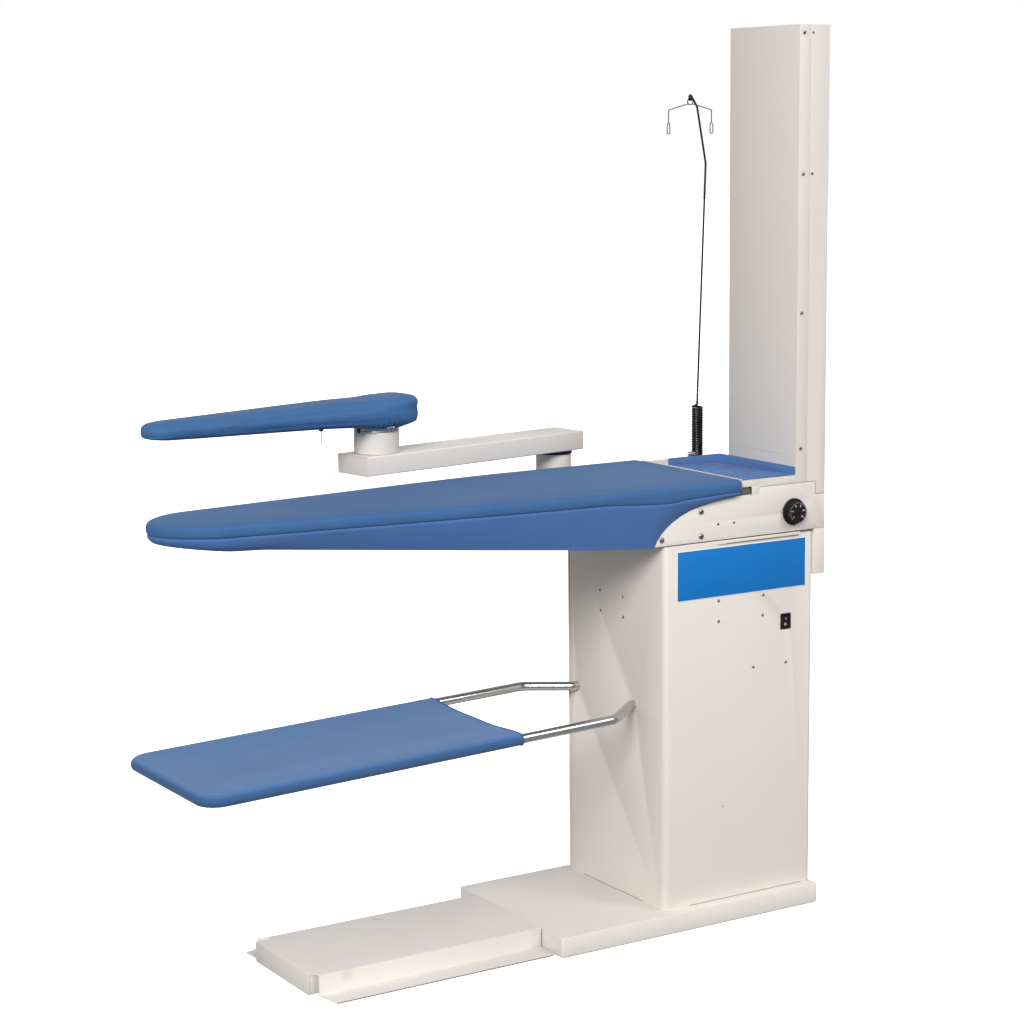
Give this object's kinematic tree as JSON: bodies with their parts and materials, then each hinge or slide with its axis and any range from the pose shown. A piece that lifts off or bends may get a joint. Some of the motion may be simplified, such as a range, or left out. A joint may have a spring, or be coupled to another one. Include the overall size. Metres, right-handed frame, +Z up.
{
  "type": "vacuum ironing table",
  "caption": "Heated vacuum ironing board on a blower cabinet with an exhaust chimney, swivelling sleeve board, garment catcher, foot pedal, iron rest and hose rod.",
  "frame": {"origin": "centre of the base's underside, on the floor", "axes": "+Z up; -X along the board to its nose; the operator stands on the -Y side"},
  "size_m": [1.4475, 0.5168, 1.836],
  "materials": {
    "cream_paint": "satin ivory powder coat",
    "grey_cream_paint": "satin ivory powder coat",
    "dark_paint": "matt grey enamel",
    "zinc_steel": "zinc plated",
    "stainless": "brushed",
    "chrome_tube": "polished",
    "black_steel": "satin black",
    "aluminium_sheet": "mill finish",
    "black_plastic": "fine grain",
    "blue_cloth": "woven cotton",
    "blue_catcher_cloth": "woven nylon",
    "grey_felt": "needled felt",
    "blue_silicone": "satin moulded silicone",
    "black_rubber": "matt"
  },
  "bodies": {
    "stand": {"base_tray": "cream_paint", "floor_plate": "zinc_steel", "pedal_bracket": "zinc_steel", "pedal_pin": "zinc_steel", "pedal_spring": "zinc_steel", "pedal_switch": "black_plastic", "cabinet_shell": "cream_paint", "rear_service_panel": "cream_paint", "cord_gland": "black_plastic", "blower_scroll": "dark_paint", "blower_shelf": "zinc_steel", "exhaust_duct": "dark_paint", "blower_motor": "dark_paint", "suction_sleeve": "black_rubber", "vacuum_chamber": "grey_cream_paint", "heated_plate": "aluminium_sheet", "heating_element": "black_steel", "felt_pad": "grey_felt", "board_cover": "blue_cloth", "front_side_panel": "cream_paint", "rear_side_panel": "cream_paint", "head_end_panel": "cream_paint", "shelf": "cream_paint", "chimney_channel": "cream_paint", "chimney_cover": "cream_paint", "elbow_duct": "cream_paint", "switch_housing": "black_plastic", "control_box": "grey_cream_paint", "thermostat": "black_plastic", "front_catcher_socket": "zinc_steel", "rear_catcher_socket": "zinc_steel", "post_pipe": "cream_paint", "post_bush": "black_plastic", "rod_foot": "black_steel", "rod_spring": "black_steel"},
    "pedal": {"pedal_plate": "cream_paint"},
    "rocker": {"switch_rocker": "black_plastic"},
    "knob": {"thermostat_knob": "black_plastic", "knob_spindle": "zinc_steel"},
    "impeller": {"blower_impeller": "aluminium_sheet", "blower_shaft": "zinc_steel"},
    "catcher": {"catcher_frame": "chrome_tube", "catcher_cover": "blue_catcher_cloth"},
    "tray": {"iron_tray": "blue_silicone"},
    "arm": {"swing_arm": "cream_paint", "arm_end_cap": "cream_paint", "arm_post_cap": "cream_paint", "arm_collar": "cream_paint"},
    "sleeve_board": {"sleeve_neck": "stainless", "neck_band": "stainless", "sleeve_chamber": "grey_cream_paint", "sleeve_plate": "aluminium_sheet", "sleeve_cover": "blue_cloth", "swivel_stop": "zinc_steel"},
    "rod": {"hose_rod": "black_steel"},
    "yoke": {"hose_yoke": "black_steel"}
  },
  "joints": [
    {"name": "pedal_press", "type": "hinge", "parent": "stand", "child": "pedal", "pos_m": [-0.306, 0, 0.027], "axis": [0, -1, 0], "range_deg": [0, 0.4], "stiffness_Nm_per_rad": 120, "springref_deg": -6.88},
    {"name": "rocker_tilt", "type": "hinge", "parent": "stand", "child": "rocker", "pos_m": [0.248, -0.175, 0.6165], "axis": [-1, 0, 0], "range_deg": [0, 14]},
    {"name": "knob_turn", "type": "hinge", "parent": "stand", "child": "knob", "pos_m": [0.265, -0.18, 0.846], "axis": [0, 1, 0], "range_deg": [0, 270]},
    {"name": "impeller_spin", "type": "hinge", "parent": "stand", "child": "impeller", "pos_m": [0.048, 0, 0.7], "axis": [0, 0, 1], "continuous": true},
    {"name": "catcher_slide", "type": "slide", "parent": "stand", "child": "catcher", "axis": [-0.9994, 0, -0.0358], "range_m": [0, 0.1]},
    {"name": "tray_lift", "type": "slide", "parent": "stand", "child": "tray", "axis": [0, 0, 1], "range_m": [0, 0.06]},
    {"name": "arm_swing", "type": "hinge", "parent": "stand", "child": "arm", "pos_m": [-0.04, 0.262, 0.972], "axis": [0, 0, 1], "range_deg": [-95, 75]},
    {"name": "sleeve_swing", "type": "hinge", "parent": "arm", "child": "sleeve_board", "pos_m": [-0.51726, 0.17913, 1.04], "axis": [0, 0, 1], "range_deg": [-90, 90]},
    {"name": "rod_sway", "type": "hinge", "parent": "stand", "child": "rod", "pos_m": [0.242, 0.125, 0.981], "axis": [0, 1, 0], "range_deg": [-12, 12], "stiffness_Nm_per_rad": 4, "deforming": ["rod_spring"]},
    {"name": "yoke_swing", "type": "hinge", "parent": "rod", "child": "yoke", "pos_m": [0.2178, 0.1205, 1.69], "axis": [0, 1, 0], "range_deg": [-20, 20]}
  ]
}
